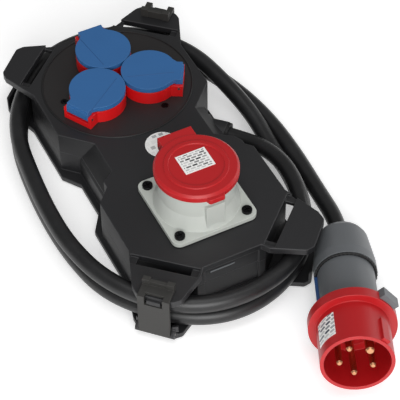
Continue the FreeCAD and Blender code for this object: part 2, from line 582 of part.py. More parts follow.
screws = []
for x, y in cee_holes:
    s = cyl(4.3, FLANGE_TOP, FLANGE_TOP + 2.4, x, y).fuse(cyl(SCREW_R, DECK_Z - 11.0, FLANGE_TOP + 1, x, y))
    s = s.cut(box(x - 2.8, x + 2.8, y - 0.5, y + 0.5, FLANGE_TOP + 1.2, ABOVE))
    s = s.cut(box(x - 0.5, x + 0.5, y - 2.8, y + 2.8, FLANGE_TOP + 1.2, ABOVE))
    screws.append(s.removeSplitter())
save("cee_screws", Part.makeCompound(screws))

INSERT_TOP = CEE_RIM_Z - 9.2
CEE_INSERT_R = CEE_BORE - 4.9
pole_at = []
for k in range(5):
    ang = math.radians(-90.0 + 72.0 * k)
    pole_at.append((PIN_CIRCLE * math.cos(ang), PIN_CIRCLE * math.sin(ang), 3.9 if k == 0 else 2.9))
insert = cyl(CEE_INSERT_R, CEE_DEEP + 4.0, INSERT_TOP)
insert = insert.fuse(cyl(CEE_BORE, CEE_DEEP + 4.0, CEE_DEEP + 10.0))
for x, y, r in pole_at:
    insert = insert.cut(cyl(r, CEE_DEEP + 8.0, INSERT_TOP + 1, x, y))
insert = insert.removeSplitter()
insert.translate(V(0, CEE_Y, 0))
save("cee_insert", insert)
sleeves = [ring(r, r - 0.6, CEE_DEEP + 8.0, INSERT_TOP - 4.0, x, y + CEE_Y) for x, y, r in pole_at]
save("cee_contact_sleeves", Part.makeCompound(sleeves))

lid = cyl(CEE_LID_R, CEE_LID_BASE, CEE_LID_TOP - CEE_LID_ROUND)
lid = lid.fuse(Part.makeCone(CEE_LID_R, CEE_LID_R - CEE_LID_ROUND, CEE_LID_ROUND,
                             V(0, 0, CEE_LID_TOP - CEE_LID_ROUND)))
skirt = ring(CEE_LID_R, CEE_R + 1.4, CEE_LID_BASE - 0.8, CEE_LID_BASE + 1)
lid = lid.fuse(skirt.cut(box(-50, 50, 8.0, 50, 0, ABOVE)))
lid = lid.fuse(ring(RIDGE_OUT, RIDGE_IN, CEE_LID_TOP - 1, CEE_LID_TOP + 0.8))
lip = soft_prism([(-6.5, -CEE_LID_R - 3.2, 2), (6.5, -CEE_LID_R - 3.2, 2), (10.0, -CEE_R + 3.5),
                  (-10.0, -CEE_R + 3.5)],
                 CEE_LID_BASE - 0.8, CEE_LID_TOP - CEE_LID_ROUND)
lid = lid.fuse(lip)
tab_half = CEE_TAB_W / 2
tab_end = CEE_HINGE_OUT + CEE_KNUCKLE_R
lid = lid.fuse(box(-tab_half, tab_half, 18.0, tab_end, CEE_LID_BASE, CEE_LID_TOP - 0.6))
knuckle_in = ear_half + SIDE_FIT
for x0, x1 in ((-tab_half, -knuckle_in), (knuckle_in, tab_half)):
    lid = lid.fuse(Part.makeCylinder(CEE_KNUCKLE_R, x1 - x0, V(x0, CEE_HINGE_OUT, CEE_HINGE_Z), V(1, 0, 0)))
    lid = lid.fuse(box(x0, x1, CEE_HINGE_OUT - CEE_KNUCKLE_R, tab_end, CEE_HINGE_Z, CEE_LID_BASE + 0.5))
lid = lid.cut(ring(CEE_SEAL_OUT, CEE_SEAL_IN, 0, CEE_LID_BASE + 1.2))
lid = lid.cut(Part.makeCylinder(CEE_PIN_R + RUN_FIT, 80, V(-40, CEE_HINGE_OUT, CEE_HINGE_Z), V(1, 0, 0)))
lid = lid.removeSplitter()
lid.translate(V(0, CEE_Y, 0))
save("cee_lid", lid)
save("cee_lid_seal", ring(CEE_SEAL_OUT, CEE_SEAL_IN, CEE_RIM_Z + 0.3, CEE_LID_BASE + 1.2, 0, CEE_Y))
pin = Part.makeCylinder(CEE_PIN_R, CEE_TAB_W, V(-tab_half, CEE_Y + CEE_HINGE_OUT, CEE_HINGE_Z), V(1, 0, 0))
save("cee_lid_pin", pin)
LABEL_T = 0.3              # rating plate and round sticker
FOIL_T = 0.25              # label on the plug
save("rating_label", box(-12.0, 14.0, -81.2, -60.6, CEE_LID_TOP, CEE_LID_TOP + LABEL_T)
     .cut(ring(40.0, RIDGE_IN, 0, ABOVE, 0, CEE_Y)))
save("round_sticker", cyl(14.5, DECK_Z, DECK_Z + LABEL_T, 3.0, -4.0)
     .cut(box(-60, 60, CEE_Y - h, CEE_Y + h + 0.3, 0, ABOVE)).cut(cyl(DISC_R + 1.0, 0, ABOVE, 0, DISC_Y)))

# ---- inside: clamp for the lead, terminals ------------------------------------------------------------
def lead_box(s0, s1, half, z0, z1):
    bar = box(s0, s1, -half, half, z0, z1)
    return turned(bar, -45.0, LEAD_IN.x, LEAD_IN.y)


CLAMP_SCREW_R = 1.75
CLAMP_TOP = CABLE_Z + CABLE_R + 2.75
CLAMP_REACH = CABLE_R + 2.95   # clamp screws from the lead's axis
CLAMP_HALF = CLAMP_REACH + 2.8
saddle = lead_box(-1.0, 7.0, CLAMP_HALF, BASE_TOP, CABLE_Z).cut(lead_thru)
bar = lead_box(-1.0, 7.0, CLAMP_HALF, CABLE_Z, CLAMP_TOP).cut(lead_thru)
clamp_screws = []
for s in (-1, 1):
    shank = cyl(CLAMP_SCREW_R, 9.0, CLAMP_TOP - 1.5, 3.0, s * CLAMP_REACH)
    head = cyl(2.7, CLAMP_TOP - 2.0, CLAMP_TOP, 3.0, s * CLAMP_REACH)
    probe = turned(shank, -45.0, LEAD_IN.x, LEAD_IN.y)
    headp = turned(head, -45.0, LEAD_IN.x, LEAD_IN.y)
    clamp_screws.append(probe.fuse(headp).removeSplitter())
    saddle = saddle.cut(probe)
    bar = bar.cut(probe).cut(headp)
save("clamp_saddle", saddle)
save("clamp_bar", bar)
save("clamp_screws", Part.makeCompound(clamp_screws))

block = box(-30.0, 26.0, -8.0, 10.0, BASE_TOP, 18.0)
posts = []
for k in range(5):
    x = -25.0 + 11.0 * k
    block = block.cut(cyl(2.5, 10.0, 20.0, x, 1.0))
    posts.append(cyl(2.5, 10.0, 17.0, x, 1.0).cut(box(x - 3, x + 3, 0.6, 1.4, 16.0, 18.0)))
save("terminal_block", block)
save("terminal_screws", Part.makeCompound(posts))

# ---- lead ----------------------------------------------------------------------------------------------
u = V(-math.sin(math.radians(PLUG_AZ)) * math.cos(math.radians(PLUG_TILT)),
      -math.cos(math.radians(PLUG_AZ)) * math.cos(math.radians(PLUG_TILT)),
      math.sin(math.radians(PLUG_TILT)))
plug_o = V(*PLUG_AT)
NUT_END = 95.0
lead_end = plug_o - u * 88.0
lead_bend = plug_o - u * 113.0

HIGH = 31.0
LOW = 15.0
BACK_HIGH = 29.0
BACK_LOW = 13.6
route = [
    (LEAD_IN.x, LEAD_IN.y, CABLE_Z), (80, 0, CABLE_Z), (93, -42, 28.5), (89.5, -86, HIGH),
    (72, -129, HIGH), (42, -155.5, HIGH), (2, -165.5, HIGH), (-37, -160, HIGH),
    (-70, -137.5, HIGH), (-95, -101, HIGH), (-106, -57, HIGH), (-107, -14, HIGH),
    (-103.5, 30, 30.5), (-98, 72, 30), (-84, 107, 29.5), (-61, 136, BACK_HIGH),
    (-33, 157, BACK_HIGH), (0, 163, BACK_HIGH), (33, 157, BACK_HIGH), (62, 136, BACK_HIGH),
    (84, 102, BACK_HIGH), (92, 58, BACK_HIGH), (99.5, 14, 21.5), (97.5, -24, 15.5),
    (97.5, -62, 14.6), (86, -106, LOW), (63, -138.5, LOW), (29, -160, LOW),
    (-7, -166.5, LOW), (-41.2, -157.2, LOW), (-70.8, -132.8, LOW), (-95, -99, LOW),
    (-103.5, -57, LOW), (-105.5, -14, LOW), (-103, 30, LOW), (-97.5, 72, 14.5),
    (-84, 107, 14), (-61, 136, BACK_LOW), (-33, 157, BACK_LOW), (0, 163, BACK_LOW),
    (33, 157, BACK_LOW), (62, 136, BACK_LOW), (88, 100, 13.8), (104, 57, 14),
    (112.2, 12, 14), (113, -34, 14), (109.5, -82, 14),
    (lead_bend.x, lead_bend.y, lead_bend.z), (lead_end.x, lead_end.y, lead_end.z)]


def tube(points, radius):
    pts = [V(*p) for p in points]
    edges = []
    here = pts[0]
    for i in range(1, len(pts) - 1):
        back = pts[i - 1] - pts[i]
        ahead = pts[i + 1] - pts[i]
        run = 0.45 * min(back.Length, ahead.Length)
        back.normalize()
        ahead.normalize()
        half_turn = (math.pi - back.getAngle(ahead)) / 2.0
        bend = run / math.tan(half_turn)
        p_in = pts[i] + back * run
        p_out = pts[i] + ahead * run
        inward = back + ahead
        inward.normalize()
        mid = pts[i] + inward * (bend / math.cos(half_turn) - bend)
        edges.append(Part.LineSegment(here, p_in).toShape())
        edges.append(Part.Arc(p_in, mid, p_out).toShape())
        here = p_out
        print("bend", i, "radius", round(bend, 1), "turn", round(math.degrees(2 * half_turn), 1))
    edges.append(Part.LineSegment(here, pts[-1]).toShape())
    path = Part.Wire(edges)
    start = pts[1] - pts[0]
    profile = Part.Wire([Part.makeCircle(radius, pts[0], start)])
    body = path.makePipeShell([profile], True, False)
    print("lead length", round(path.Length, 1), "volume ratio",
          round(body.Volume / (math.pi * radius ** 2 * path.Length), 5))
    return body


save("supply_cable", tube(route, CABLE_R))

grommet = Part.makeCylinder(GROMMET_R, COLLAR_END - 9.0, LEAD_IN + LEAD_DIR * 9.0, LEAD_DIR)
grommet = grommet.fuse(Part.makeCylinder(GROMMET_FLANGE_R, 2.5, LEAD_IN + LEAD_DIR * COLLAR_END, LEAD_DIR))
grommet = grommet.cut(lead_thru)
save("cable_grommet", grommet.removeSplitter())

# ---- plug: built with its axis on +X, mouth at +X, flange rear face at the origin ------------------------
def x_cyl(r, x0, x1, y=0.0, z=0.0):
    return Part.makeCylinder(r, x1 - x0, V(x0, y, z), V(1, 0, 0))


def x_cone(r0, r1, x0, x1):
    return Part.makeCone(r0, r1, x1 - x0, V(x0, 0, 0), V(1, 0, 0))


def place_plug(shape):
    out = shape.copy()
    x_axis = u
    y_axis = V(0, 0, 1).cross(x_axis)
    y_axis.normalize()
    z_axis = x_axis.cross(y_axis)
    m = FreeCAD.Matrix(x_axis.x, y_axis.x, z_axis.x, plug_o.x,
                       x_axis.y, y_axis.y, z_axis.y, plug_o.y,
                       x_axis.z, y_axis.z, z_axis.z, plug_o.z, 0, 0, 0, 1)
    out.Placement = FreeCAD.Placement(m).multiply(out.Placement)
    return out


PIN_BASE = 8.0             # floor of the shroud
CARRIER_R = 19.0
PIN_TIP = SHROUD_LEN - 2.5
PIN_CHAMFER = 1.2
EARTH_ANGLE = 47.0         # earth pin and key, turned about the plug axis
LATCH_ANGLE = -48.0
STRIP_ANGLE = 100.0
LABEL_ANGLE = -35.0
KEY_LEN = 22.0
shroud = x_cyl(PLUG_FLANGE_R, 0, PLUG_FLANGE_T)
shroud = shroud.fuse(x_cyl(SHROUD_R, PLUG_FLANGE_T - 1, SHROUD_LEN))
key_box = Part.makeBox(KEY_LEN, 7.0, 6.0, V(SHROUD_LEN - 1.5 - KEY_LEN, -3.5, SHROUD_R - 3.5))
key_box.rotate(V(0, 0, 0), V(1, 0, 0), EARTH_ANGLE - 90.0)
shroud = shroud.fuse(key_box)
shroud = shroud.cut(x_cyl(SHROUD_BORE, PIN_BASE, SHROUD_LEN + 1))
shroud = shroud.cut(x_cyl(CARRIER_R, -1, PIN_BASE + 1))
lug = Part.makeBox(9.0, 17.0, 10.0, V(-2.0, -8.5, PLUG_FLANGE_R - 6.0))
lug.rotate(V(0, 0, 0), V(1, 0, 0), LATCH_ANGLE)
shroud = shroud.cut(lug).removeSplitter()
save("plug_latch_lug", place_plug(lug))
save("plug_shroud", place_plug(shroud))

BODY_R = 23.0
BODY_FLARE = 4.0           # the body widens by this much into the flange
carrier = x_cyl(CARRIER_R, -14.0, PIN_BASE)
poles = []
for k in range(5):
    ang = math.radians(EARTH_ANGLE + 72.0 * k)
    r = 3.5 if k == 0 else 2.5
    y = PIN_CIRCLE * math.cos(ang)
    z = PIN_CIRCLE * math.sin(ang)
    carrier = carrier.cut(x_cyl(r, -10.0, PIN_BASE + 1, y, z))
    pole = x_cyl(r, -10.0, PIN_TIP - PIN_CHAMFER, y, z)
    tip = Part.makeCone(r, r - 1.0, PIN_CHAMFER, V(PIN_TIP - PIN_CHAMFER, y, z), V(1, 0, 0))
    poles.append(pole.fuse(tip).removeSplitter())
save("plug_pin_carrier", place_plug(carrier.removeSplitter()))
save("plug_pins", place_plug(Part.makeCompound(poles)))

STRIP_LEN = 46.0
STRIP_W = 9.0
body = x_cyl(BODY_R, -56.0, 0.0).fuse(x_cone(BODY_R, BODY_R + BODY_FLARE, -6.0, 0.0))
body = body.cut(x_cyl(CARRIER_R, -50.0, 1.0))
body = body.cut(x_cyl(CABLE_R + 4.0, -60.0, -40.0))
strip_cut = Part.makeBox(STRIP_LEN, STRIP_W, 4.0, V(-49.0, -STRIP_W / 2, BODY_R - 2.5))
strip_cut.rotate(V(0, 0, 0), V(1, 0, 0), STRIP_ANGLE)
body = body.cut(strip_cut).removeSplitter()
save("plug_body", place_plug(body))
strip = Part.makeBox(STRIP_LEN, STRIP_W, 4.6, V(-49.0, -STRIP_W / 2, BODY_R - 2.5))
strip.rotate(V(0, 0, 0), V(1, 0, 0), STRIP_ANGLE)
strip = strip.cut(x_cone(BODY_R, BODY_R + BODY_FLARE, -6.0, 0.0))
save("plug_latch_strip", place_plug(strip.removeSplitter()))

NUT_R = 25.4
NUT_WAIST_R = 21.9         # end of the long taper
NUT_NOSE_R = 20.0          # start of the rounded nose
NUT_TIP_R = 16.5
nut = x_cyl(NUT_R, -60.0, -50.6).fuse(x_cone(NUT_WAIST_R, NUT_R, -89.0, -60.0))
nut = nut.fuse(x_cone(NUT_NOSE_R, NUT_WAIST_R, -93.0, -89.0))
nut = nut.fuse(x_cone(NUT_TIP_R, NUT_NOSE_R, -NUT_END, -93.0))
nut = nut.cut(x_cyl(BODY_R, -62.0, -40.0))
nut = nut.cut(x_cyl(CABLE_R, -NUT_END - 5, -40.0))
nut = nut.cut(x_cone(CABLE_R + 3.0, CABLE_R, -NUT_END - 0.01, -NUT_END + 3.0))
save("plug_gland_nut", place_plug(nut.removeSplitter()))
seal = x_cyl(CABLE_R + 4.0, -62.0, -50.0).cut(x_cyl(CABLE_R, -70.0, -40.0))
seal = seal.cut(x_cyl(CABLE_R + 4.0, -62.0, -60.0))
save("plug_gland_seal", place_plug(seal))
label = x_cyl(SHROUD_R + FOIL_T, 15.0, 38.0).cut(x_cyl(SHROUD_R, 0.0, 60.0))
wedge = Part.makeBox(60.0, 60.0, 19.0, V(0, -60.0, -9.5))
wedge.rotate(V(0, 0, 0), V(1, 0, 0), LABEL_ANGLE)
label = label.common(wedge)
save("plug_label", place_plug(label))
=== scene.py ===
# %% [markdown]
# # A portable power box, finished in Blender
# The real object is a low case of black rubber compound that lies on the floor. Its lead
# is wound round four pairs of horns. On the deck sit three domestic sockets under blue
# lids and one industrial socket under a red lid.
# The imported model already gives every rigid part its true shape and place, so this
# lesson adds what a solid modeller leaves out: the finishes, the smooth lead, and the
# thin marks, films and mouldings.

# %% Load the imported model
import json
import math

import bmesh
import bpy
from mathutils import Matrix, Vector


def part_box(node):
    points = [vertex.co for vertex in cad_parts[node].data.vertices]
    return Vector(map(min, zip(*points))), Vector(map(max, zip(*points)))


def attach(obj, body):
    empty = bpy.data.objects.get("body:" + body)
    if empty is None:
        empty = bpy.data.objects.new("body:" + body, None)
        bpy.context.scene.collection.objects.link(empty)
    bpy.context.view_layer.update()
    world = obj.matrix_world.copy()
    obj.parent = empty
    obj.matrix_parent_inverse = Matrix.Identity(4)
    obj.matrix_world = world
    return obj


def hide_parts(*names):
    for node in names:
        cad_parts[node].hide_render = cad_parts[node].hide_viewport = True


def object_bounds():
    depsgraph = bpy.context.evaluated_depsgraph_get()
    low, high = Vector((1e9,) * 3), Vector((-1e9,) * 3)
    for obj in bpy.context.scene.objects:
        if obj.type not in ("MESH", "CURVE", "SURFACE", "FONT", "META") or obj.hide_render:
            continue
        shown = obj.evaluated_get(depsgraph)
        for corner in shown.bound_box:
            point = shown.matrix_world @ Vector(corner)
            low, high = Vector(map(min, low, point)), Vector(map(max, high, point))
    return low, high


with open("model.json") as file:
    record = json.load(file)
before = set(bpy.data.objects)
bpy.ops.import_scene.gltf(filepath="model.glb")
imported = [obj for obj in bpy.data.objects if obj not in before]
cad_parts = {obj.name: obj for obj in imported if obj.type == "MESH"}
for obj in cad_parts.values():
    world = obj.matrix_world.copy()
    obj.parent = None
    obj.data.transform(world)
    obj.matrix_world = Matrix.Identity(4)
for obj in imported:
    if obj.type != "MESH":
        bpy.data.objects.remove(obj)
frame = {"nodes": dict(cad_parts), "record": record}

MM = 0.001
cad_low, cad_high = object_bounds()
print("CAD box", [round(v, 4) for v in (*cad_low, *cad_high)])

# %% [markdown]
# ## The camera
# A small object pictured from 1.3 m away has almost parallel edges, so the lens is long.
# The camera could be aimed by a constraint, but a plain matrix built from an azimuth, an
# elevation and a small roll says the same thing and leaves nothing behind to solve.

# %% Camera
TARGET = Vector((3.53, -73.5, 48.0)) * MM
AZIMUTH = math.radians(-25.974)
ELEVATION = math.radians(48.689)
ROLL = math.radians(-0.760)
DISTANCE = 1322.6 * MM
SENSOR_MM = 36.0
LENS_MM = 146.565


def view_axes(azimuth, elevation, roll):
    """Right, up and backward directions of a camera that looks at the target."""
    back = Vector((math.sin(azimuth) * math.cos(elevation),
                   -math.cos(azimuth) * math.cos(elevation),
                   math.sin(elevation)))
    level = Vector((math.cos(azimuth), math.sin(azimuth), 0.0))
    upright = back.cross(level)
    right = level * math.cos(roll) + upright * math.sin(roll)
    return right, back.cross(right), back


right, up, back = view_axes(AZIMUTH, ELEVATION, ROLL)
camera = bpy.data.objects.new("camera", bpy.data.cameras.new("camera"))
bpy.context.scene.collection.objects.link(camera)
facing = Matrix((right, up, back)).transposed().to_4x4()
camera.matrix_world = Matrix.Translation(TARGET + back * DISTANCE) @ facing
camera.data.sensor_width = SENSOR_MM
camera.data.lens = LENS_MM
bpy.context.scene.camera = camera
print("camera at", [round(v, 3) for v in camera.matrix_world.translation])

# %% [markdown]
# ## The lead
# A rubber-sheathed cable 14.5 mm thick is stiff. It leaves the case at the waist, goes
# once round the upper level of the horns, dips, and goes round again below before it
# reaches the plug. It could be a swept mesh, but a NURBS curve with a round bevel keeps
# the bends smooth, because the points only pull the curve towards them, as a stiff cable
# rounds a corner wider than the hand that lays it.

# %% Route of the lead, in millimetres
LEAD_D = 14.5
HIGH = 31.0
LOW = 15.0
BACK_HIGH = 29.0
BACK_LOW = 13.6
LEAD_EXIT = (50, 30, 16)
lead_out = [LEAD_EXIT, (80, 0, 16), (93, -42, 28.5), (89.5, -86, HIGH)]
upper_turn = [(72, -129, HIGH), (42, -155.5, HIGH), (2, -165.5, HIGH), (-37, -160, HIGH),
              (-70, -137.5, HIGH), (-95, -101, HIGH), (-106, -57, HIGH), (-107, -14, HIGH),
              (-103.5, 30, 30.5), (-98, 72, 30), (-84, 107, 29.5), (-61, 136, BACK_HIGH),
              (-33, 157, BACK_HIGH), (0, 163, BACK_HIGH), (33, 157, BACK_HIGH),
              (62, 136, BACK_HIGH), (84, 102, BACK_HIGH), (92, 58, BACK_HIGH)]
dip = [(99.5, 14, 21.5), (97.5, -24, 15.5), (97.5, -62, 14.6)]
lower_turn = [(86, -106, LOW), (63, -138.5, LOW), (29, -160, LOW), (-7, -166.5, LOW),
              (-41.2, -157.2, LOW), (-70.8, -132.8, LOW), (-95, -99, LOW), (-103.5, -57, LOW),
              (-105.5, -14, LOW), (-103, 30, LOW), (-97.5, 72, 14.5), (-84, 107, 14),
              (-61, 136, BACK_LOW), (-33, 157, BACK_LOW), (0, 163, BACK_LOW),
              (33, 157, BACK_LOW), (62, 136, BACK_LOW), (88, 100, 13.8)]
to_plug = [(104, 57, 14), (112.2, 12, 14), (113, -34, 14), (109.5, -82, 14),
           (105.396, -125.221, 18.102), (94.910, -147.606, 21.840)]
lead_route = lead_out + upper_turn + dip + lower_turn + to_plug
print(len(lead_route), "points on the lead")

# %% The lead as a curve
lead_data = bpy.data.curves.new("lead", "CURVE")
lead_data.dimensions = "3D"
spline = lead_data.splines.new("NURBS")
spline.points.add(len(lead_route) - 1)
for point, place in zip(spline.points, lead_route):
    point.co = (*(Vector(place) * MM), 1.0)
    point.radius = LEAD_D / 2 * MM
spline.order_u = 3
spline.use_endpoint_u = True
spline.resolution_u = 8
lead_data.bevel_depth = 1.0    # times the radius of each point
lead_data.bevel_resolution = 6
lead_data.use_fill_caps = True
lead = bpy.data.objects.new("lead", lead_data)
bpy.context.scene.collection.objects.link(lead)
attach(lead, "box")
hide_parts("supply_cable")
print("lead made")

# %% [markdown]
# ## Helpers for finishes
# Colours are written as the hex values that a paint chart gives, and Blender's shader
# sockets want linear light, so one function converts them. Another adds one node with
# its settings and its links, so that each material below reads as a list of nodes from
# left to right. Two short ones give the texture scale and an empty material.


# %% Colour and node helpers
def linear(code):
    """An sRGB hex colour as linear red, green, blue and alpha."""
    parts = [int(code[i:i + 2], 16) / 255 for i in (1, 3, 5)]
    return [c / 12.92 if c <= 0.04045 else ((c + 0.055) / 1.055) ** 2.4 for c in parts] + [1.0]


def add(tree, kind, settings=None, links=None):
    """Adds one shader node. Settings are its own properties or the values of its sockets."""
    node = tree.nodes.new("ShaderNode" + kind)
    for name, value in (settings or {}).items():
        if isinstance(name, str) and hasattr(node, name):
            setattr(node, name, value)
        else:
            node.inputs[name].default_value = value
    for name, source in (links or {}).items():
        tree.links.new(source, node.inputs[name])
    return node


def per_mm(size):
    """Texture scale for a pattern that repeats every size millimetres in frame coordinates."""
    return 1.0 / (size * MM)


def start(name):
    """An empty material with its tree, its output and frame coordinates in metres."""
    material = bpy.data.materials.new(name)
    material.use_nodes = True
    tree = material.node_tree
    tree.nodes.clear()
    place = add(tree, "TexCoord").outputs["Object"]
    return material, tree, place


print("mid grey is", round(linear("#808080")[0], 3))

# %% [markdown]
# ## Moulded rubber and plastic
# Nearly everything here came out of a mould. The tool was spark eroded, which leaves a
# fine pebbled grain, and every corner has a small radius because a sharp one would tear.
# The grain could be displaced geometry, but at a few hundredths of a millimetre deep a
# bump is all the eye gets. The small radii come from a Bevel node, which bends the
# normal near an edge. Where the bent normal and the true one differ, the surface is an
# edge, and the same comparison turns it a little paler: partly wear, where handling
# polishes it, and partly painted highlight, the line of light a rounded edge catches.


# %% Moulded finish
PATCH = 38.0          # width of the broad mottle, in millimetres
EDGE_WEAR_AND_SHEEN = 0.5       # share of the pale edge colour on the sharpest edges
POLISH_SPREAD = 0.06  # how far the roughness wanders either way


def moulded(name, base, shade, edge, roughness, grain, depth, radius, ior):
    """Moulded rubber or plastic. Grain, depth and radius are millimetres."""
    material, tree, place = start(name)
    mottle = add(tree, "TexNoise", {"Scale": per_mm(PATCH), "Detail": 4.0, "Roughness": 0.55},
                 {"Vector": place})
    tone = add(tree, "Mix", {"data_type": "RGBA", 6: linear(base), 7: linear(shade)},
               {0: mottle.outputs["Fac"]})
    rounded = add(tree, "Bevel", {"Radius": radius * MM, "samples": 6})
    true = add(tree, "NewGeometry")
    match = add(tree, "VectorMath", {"operation": "DOT_PRODUCT"},
                {0: rounded.outputs["Normal"], 1: true.outputs["Normal"]})
    # The pale edge is partly wear and partly painted highlight along each rounded edge.
    rim = add(tree, "MapRange", {"From Min": 0.995, "From Max": 0.86, "To Max": EDGE_WEAR_AND_SHEEN},
              {"Value": match.outputs["Value"]})
    wear_and_highlight = add(tree, "Mix", {"data_type": "RGBA", 7: linear(edge)},
               {0: rim.outputs["Result"], 6: tone.outputs[2]})
    pebble = add(tree, "TexNoise", {"Scale": per_mm(grain), "Detail": 2.0, "Roughness": 0.6},
                 {"Vector": place})
    relief = add(tree, "Bump", {"Strength": 0.6, "Distance": depth * MM},
                 {"Height": pebble.outputs["Fac"], "Normal": rounded.outputs["Normal"]})
    polish = add(tree, "MapRange",
                 {"To Min": roughness - POLISH_SPREAD, "To Max": roughness + POLISH_SPREAD},
                 {"Value": mottle.outputs["Fac"]})
    surface = add(tree, "BsdfPrincipled", {"IOR": ior},
                  {"Base Color": wear_and_highlight.outputs[2], "Roughness": polish.outputs["Result"],
                   "Normal": relief.outputs["Normal"]})
    add(tree, "OutputMaterial", links={"Surface": surface.outputs[0]})
    return material


# %% [markdown]
# ## The rubbers
# The case is a hard charcoal rubber compound, matt and a little dusty. Straps of the
# same family carry less black and look greyer, and the feet, seals and grommet are soft
# and nearly black. Rubber has an IOR near 1.52 and stays rough, from 0.5 to 0.8.

# %% Rubber finishes
# The numbers are roughness, grain, depth, edge radius and IOR, here and in the next table.
# The third colour is the pale edge, partly wear and partly painted highlight, here and in the next
# table.
rubber_case = moulded("rubber_compound_moulded_case", "#1E1E20", "#18181A", "#4C4C4E",
                      0.50, 0.9, 0.05, 1.4, 1.52)
rubber_strap = moulded("epdm_rubber_moulded_strap", "#302F2D", "#292826", "#4A4945",
                       0.60, 1.2, 0.05, 0.5, 1.52)
rubber_foot = moulded("soft_rubber_moulded_foot", "#1C1C1C", "#161616", "#303030",
                      0.75, 0.8, 0.05, 0.4, 1.52)
rubber_seal = moulded("epdm_rubber_moulded_seal", "#0C0C0D", "#09090A", "#1C1C1E",
                      0.55, 0.8, 0.03, 0.3, 1.52)
print("rubbers:", rubber_case.name, rubber_strap.name, rubber_foot.name, rubber_seal.name)

# %% [markdown]
# ## The plastics
# The sockets and plug are polyamide, which takes strong clean colours and comes out
# satin. The round plate is ABS with nearly the same grain as the case. IOR is 1.53 or
# 1.54, and roughness runs from 0.34 for a polished tool to 0.5 for an eroded one.

# %% Plastic finishes
abs_plate = moulded("abs_moulded_plate", "#1F1C1C", "#191717", "#343030",
                    0.50, 0.8, 0.04, 0.4, 1.54)
polyamide_red = moulded("polyamide_moulded_bright_red", "#DC1418", "#D01014", "#F23A3C",
                        0.34, 1.2, 0.02, 0.5, 1.53)
polyamide_lid = moulded("polyamide_moulded_signal_red", "#B81218", "#AC1016", "#E03034",
                        0.42, 1.2, 0.02, 0.9, 1.53)
polyamide_dark = moulded("polyamide_moulded_deep_red", "#B01016", "#A00C12", "#CC2228",
                         0.38, 1.2, 0.02, 0.4, 1.53)
polyamide_blue = moulded("polyamide_moulded_blue_lid", "#2E66A0", "#2A6098", "#4680B6",
                         0.50, 0.9, 0.04, 0.6, 1.53)
polyamide_strip = moulded("polyamide_moulded_blue_strip", "#32558A", "#2C4C7E", "#4A6EA6",
                          0.42, 0.9, 0.03, 0.4, 1.53)
polyamide_light = moulded("polyamide_moulded_light_grey", "#C0C4BE", "#B8BCB6", "#DADDD8",
                          0.38, 1.2, 0.02, 0.8, 1.53)
polyamide_grey = moulded("polyamide_moulded_mid_grey", "#66696C", "#5E6164", "#84888A",
                         0.46, 0.9, 0.04, 0.7, 1.53)
thermoset = moulded("thermoset_pressed_insert", "#38383A", "#303032", "#4A4A4C",
                    0.45, 0.8, 0.03, 0.3, 1.54)
print("moulded finishes so far:", len([m for m in bpy.data.materials if "moulded" in m.name]))

# %% [markdown]
# ## The cable sheath
# Chloroprene rubber is extruded, so its grain is drawn out along the cable and talc
# from the drum leaves faint pale patches. Its own coordinates run along the curve only
# in UV space, so the grain here is a soft noise in frame coordinates, and the talc is a
# broad one. The satin band of light along the top comes from the roughness, about 0.40.


# %% Sheath finish
TALC_PATCH = 22.0     # these three are millimetres
SKIN_GRAIN = 1.4
SKIN_DEPTH = 0.06


def extruded_sheath():
    """Chloroprene rubber sheath with a satin skin and faint talc."""
    material, tree, place = start("chloroprene_rubber_extruded_sheath")
    talc = add(tree, "TexNoise", {"Scale": per_mm(TALC_PATCH), "Detail": 6.0, "Roughness": 0.7},
               {"Vector": place})
    share = add(tree, "MapRange", {"From Min": 0.45, "From Max": 0.75, "To Max": 0.5},
                {"Value": talc.outputs["Fac"]})
    tone = add(tree, "Mix", {"data_type": "RGBA", 6: linear("#151516"), 7: linear("#29292B")},
               {0: share.outputs["Result"]})
    skin = add(tree, "TexNoise", {"Scale": per_mm(SKIN_GRAIN), "Detail": 3.0, "Roughness": 0.6},
               {"Vector": place})
    relief = add(tree, "Bump", {"Strength": 0.35, "Distance": SKIN_DEPTH * MM},
                 {"Height": skin.outputs["Fac"]})
    polish = add(tree, "MapRange", {"To Min": 0.34, "To Max": 0.46}, {"Value": talc.outputs["Fac"]})
    surface = add(tree, "BsdfPrincipled", {"IOR": 1.52},
                  {"Base Color": tone.outputs[2], "Roughness": polish.outputs["Result"],
                   "Normal": relief.outputs["Normal"]})
    add(tree, "OutputMaterial", links={"Surface": surface.outputs[0]})
    return material


sheath = extruded_sheath()
lead_data.materials.append(sheath)
print("sheath:", sheath.name)

# %% [markdown]
# ## The metals
# The plug's pins are turned brass, and their chamfered tips catch the light. Plated and
# blackened screws are rolled and stamped, which leaves them smooth with a slight mottle.
# A metal is fully metallic and keeps the default IOR: its colour comes from Base Color
# and its character from the roughness.


# %% Metal finishes
METAL_EDGE = 0.4      # this and the next are millimetres
METAL_DEPTH = 0.02
METAL_SPREAD = 0.08   # how far the roughness wanders either way


